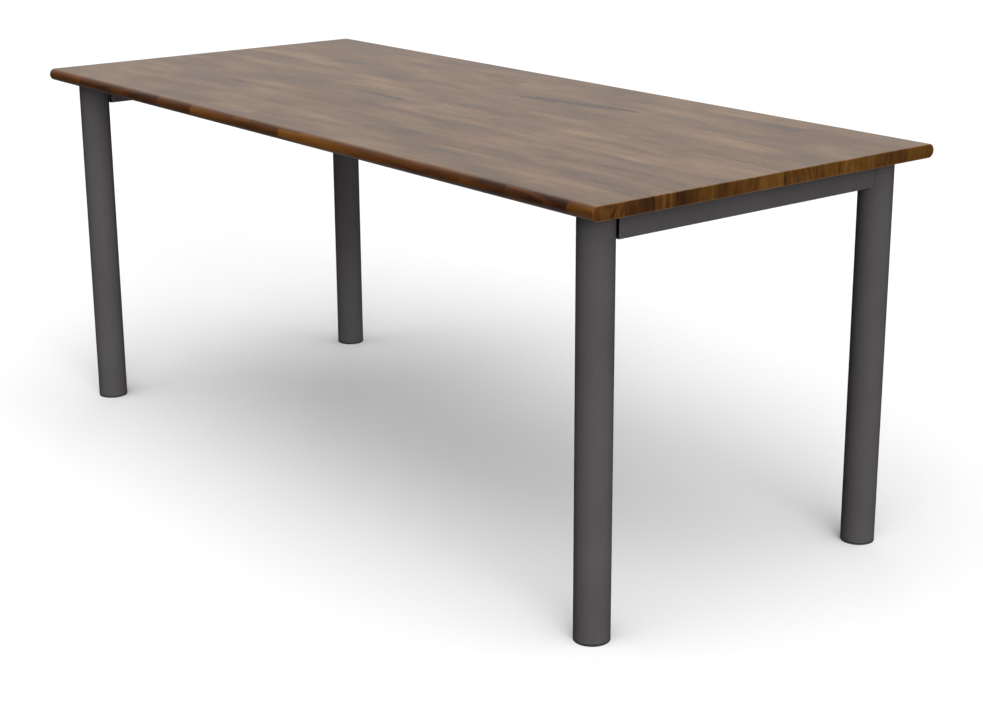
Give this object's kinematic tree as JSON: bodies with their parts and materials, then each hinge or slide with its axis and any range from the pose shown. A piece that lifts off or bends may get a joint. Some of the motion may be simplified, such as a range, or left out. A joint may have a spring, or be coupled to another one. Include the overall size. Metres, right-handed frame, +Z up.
{
  "type": "butcher block table",
  "caption": "Rectangular table with a laminated solid-wood top, rounded long edges, round steel legs, end crossbars and screw-adjustable levelling feet.",
  "frame": {"origin": "on the floor under the middle of the top", "axes": "+X along the table's length to its right end, -Y towards its front, +Z up"},
  "size_m": [1.8, 0.8, 0.75],
  "materials": {
    "oiled_walnut": "satin oiled",
    "charcoal_coating": "satin powder coat",
    "black_plastic": "matt moulded",
    "zinc_plating": "zinc plated"
  },
  "bodies": {
    "table": {"top_strip_01": "oiled_walnut", "top_strip_02": "oiled_walnut", "top_strip_03": "oiled_walnut", "top_strip_04": "oiled_walnut", "top_strip_05": "oiled_walnut", "top_strip_06": "oiled_walnut", "top_strip_07": "oiled_walnut", "top_strip_08": "oiled_walnut", "top_strip_09": "oiled_walnut", "top_strip_10": "oiled_walnut", "top_strip_11": "oiled_walnut", "top_strip_12": "oiled_walnut", "crossbar_left": "charcoal_coating", "crossbar_right": "charcoal_coating", "leg_front_left": "charcoal_coating", "leg_plate_front_left": "charcoal_coating", "crossbar_block_front_left": "zinc_plating", "crossbar_bolt_front_left": "zinc_plating", "foot_socket_front_left": "black_plastic", "plate_screw_front_left_1": "zinc_plating", "plate_screw_front_left_2": "zinc_plating", "plate_screw_front_left_3": "zinc_plating", "plate_screw_front_left_4": "zinc_plating", "leg_front_right": "charcoal_coating", "leg_plate_front_right": "charcoal_coating", "crossbar_block_front_right": "zinc_plating", "crossbar_bolt_front_right": "zinc_plating", "foot_socket_front_right": "black_plastic", "plate_screw_front_right_1": "zinc_plating", "plate_screw_front_right_2": "zinc_plating", "plate_screw_front_right_3": "zinc_plating", "plate_screw_front_right_4": "zinc_plating", "leg_back_left": "charcoal_coating", "leg_plate_back_left": "charcoal_coating", "crossbar_block_back_left": "zinc_plating", "crossbar_bolt_back_left": "zinc_plating", "foot_socket_back_left": "black_plastic", "plate_screw_back_left_1": "zinc_plating", "plate_screw_back_left_2": "zinc_plating", "plate_screw_back_left_3": "zinc_plating", "plate_screw_back_left_4": "zinc_plating", "leg_back_right": "charcoal_coating", "leg_plate_back_right": "charcoal_coating", "crossbar_block_back_right": "zinc_plating", "crossbar_bolt_back_right": "zinc_plating", "foot_socket_back_right": "black_plastic", "plate_screw_back_right_1": "zinc_plating", "plate_screw_back_right_2": "zinc_plating", "plate_screw_back_right_3": "zinc_plating", "plate_screw_back_right_4": "zinc_plating"},
    "foot_screw_front_left": {"foot_screw_front_left": "zinc_plating"},
    "foot_pad_front_left": {"foot_pad_front_left": "black_plastic"},
    "foot_screw_front_right": {"foot_screw_front_right": "zinc_plating"},
    "foot_pad_front_right": {"foot_pad_front_right": "black_plastic"},
    "foot_screw_back_left": {"foot_screw_back_left": "zinc_plating"},
    "foot_pad_back_left": {"foot_pad_back_left": "black_plastic"},
    "foot_screw_back_right": {"foot_screw_back_right": "zinc_plating"},
    "foot_pad_back_right": {"foot_pad_back_right": "black_plastic"}
  },
  "joints": [
    {"name": "foot_travel_front_left", "type": "slide", "parent": "table", "child": "foot_screw_front_left", "axis": [0, 0, -1], "range_m": [0, 0.015]},
    {"name": "foot_turn_front_left", "type": "hinge", "parent": "foot_screw_front_left", "child": "foot_pad_front_left", "pos_m": [-0.831, -0.331, 0], "axis": [0, 0, -1], "range_deg": [0, 3600]},
    {"name": "foot_travel_front_right", "type": "slide", "parent": "table", "child": "foot_screw_front_right", "axis": [0, 0, -1], "range_m": [0, 0.015]},
    {"name": "foot_turn_front_right", "type": "hinge", "parent": "foot_screw_front_right", "child": "foot_pad_front_right", "pos_m": [0.831, -0.331, 0], "axis": [0, 0, -1], "range_deg": [0, 3600]},
    {"name": "foot_travel_back_left", "type": "slide", "parent": "table", "child": "foot_screw_back_left", "axis": [0, 0, -1], "range_m": [0, 0.015]},
    {"name": "foot_turn_back_left", "type": "hinge", "parent": "foot_screw_back_left", "child": "foot_pad_back_left", "pos_m": [-0.831, 0.331, 0], "axis": [0, 0, -1], "range_deg": [0, 3600]},
    {"name": "foot_travel_back_right", "type": "slide", "parent": "table", "child": "foot_screw_back_right", "axis": [0, 0, -1], "range_m": [0, 0.015]},
    {"name": "foot_turn_back_right", "type": "hinge", "parent": "foot_screw_back_right", "child": "foot_pad_back_right", "pos_m": [0.831, 0.331, 0], "axis": [0, 0, -1], "range_deg": [0, 3600]}
  ],
  "couplings": [
    {"joint": "foot_travel_front_left", "follows": "foot_turn_front_left", "m_per_rad": 0.00023873},
    {"joint": "foot_travel_front_right", "follows": "foot_turn_front_right", "m_per_rad": 0.00023873},
    {"joint": "foot_travel_back_left", "follows": "foot_turn_back_left", "m_per_rad": 0.00023873},
    {"joint": "foot_travel_back_right", "follows": "foot_turn_back_right", "m_per_rad": 0.00023873}
  ]
}
